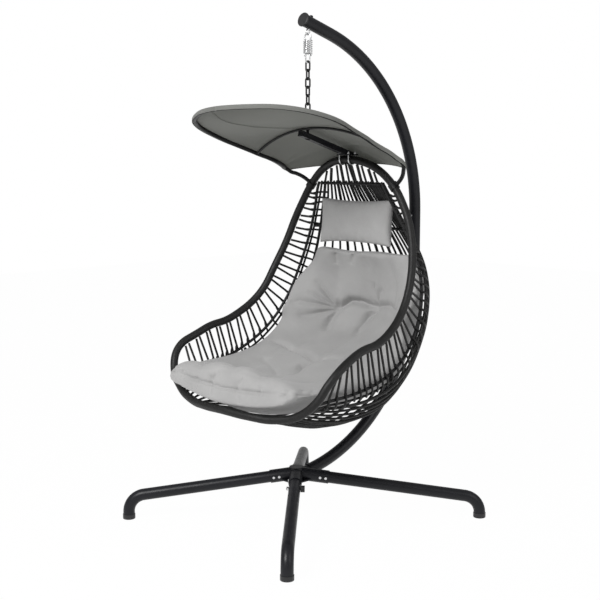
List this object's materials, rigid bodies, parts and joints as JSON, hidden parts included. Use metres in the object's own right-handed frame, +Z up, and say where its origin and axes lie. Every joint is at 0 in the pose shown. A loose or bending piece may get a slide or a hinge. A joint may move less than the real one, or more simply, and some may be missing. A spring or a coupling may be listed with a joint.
{
  "type": "hanging egg chair",
  "caption": "Hanging egg chair: a wicker basket with canopy, tufted cushion and head pillow, hung by spring and chain from a curved pole on a splayed four-legged stand.",
  "frame": {"origin": "middle of the whole object's bounding box on the floor plane", "axes": "+Z up, +X to the sitter's left, -Y to the front, where the sitter faces"},
  "size_m": [1.0608, 1.2503, 1.983],
  "materials": {
    "stand_metal": "satin powder coat",
    "stand_plastic": "moulded",
    "fastener_steel": "zinc plated",
    "dark_fastener": "black oxide",
    "spring_steel": "zinc plated",
    "chain_metal": "black oxide",
    "frame_rod": "satin powder coat",
    "wicker": "wound plastic rattan",
    "canopy_cloth": "woven, stretched",
    "cushion_cloth": "woven, tufted"
  },
  "bodies": {
    "stand": {"front_leg_left": "stand_metal", "front_leg_right": "stand_metal", "back_leg_left": "stand_metal", "back_leg_right": "stand_metal", "hub": "stand_metal", "foot_caps": "stand_plastic", "sleeve_screws": "fastener_steel", "leg_lock_knob": "stand_plastic", "leg_lock_nut": "fastener_steel", "lower_pole": "stand_metal", "upper_pole": "stand_metal", "pole_spigot": "stand_metal", "pole_joint_bolt": "fastener_steel", "pole_joint_nut": "fastener_steel", "pole_end_cap": "stand_plastic", "eye_bolt": "spring_steel", "eye_bolt_nut": "dark_fastener"},
    "spring_top": {"upper_drawbar": "spring_steel", "spring_coil": "spring_steel"},
    "spring_bottom": {"lower_drawbar": "spring_steel"},
    "chain": {"chain_links": "chain_metal", "swivel_eye": "chain_metal", "swivel_nut": "chain_metal"},
    "basket": {"hanger_arm": "stand_metal", "u_bolts": "fastener_steel", "u_bolt_nuts": "fastener_steel", "rim": "wicker", "side_rib_left": "frame_rod", "side_rib_right": "frame_rod", "spine": "frame_rod", "head_hoop": "frame_rod", "back_hoop": "frame_rod", "lumbar_hoop": "frame_rod", "seat_hoop": "frame_rod", "head_strands": "wicker", "side_strands_left": "wicker", "side_strands_right": "wicker", "back_strands": "wicker", "seat_strands": "wicker", "canopy_loop": "frame_rod", "canopy_bracket_left": "frame_rod", "canopy_bracket_right": "frame_rod", "canopy_cross_rib": "frame_rod", "canopy_fabric": "canopy_cloth", "seat_cushion": "cushion_cloth", "head_pillow": "cushion_cloth"}
  },
  "joints": [
    {"name": "swing_fore_aft", "type": "hinge", "parent": "stand", "child": "spring_top", "pos_m": [0, -0.05132, 1.90392], "axis": [1, 0, 0], "range_deg": [-20, 4]},
    {"name": "spring_bounce", "type": "slide", "parent": "spring_top", "child": "spring_bottom", "axis": [0, 0, 1], "range_m": [-0.013, 0.0025], "stiffness_N_per_m": 60000, "springref_m": 0.006, "deforming": ["spring_coil"]},
    {"name": "swing_sideways", "type": "hinge", "parent": "spring_bottom", "child": "chain", "pos_m": [0, -0.05132, 1.79862], "axis": [0, -1, 0], "range_deg": [-10, 10]},
    {"name": "basket_swivel", "type": "hinge", "parent": "chain", "child": "basket", "pos_m": [0, -0.05132, 1.52591], "axis": [0, 0, 1], "range_deg": [-90, 90]}
  ]
}
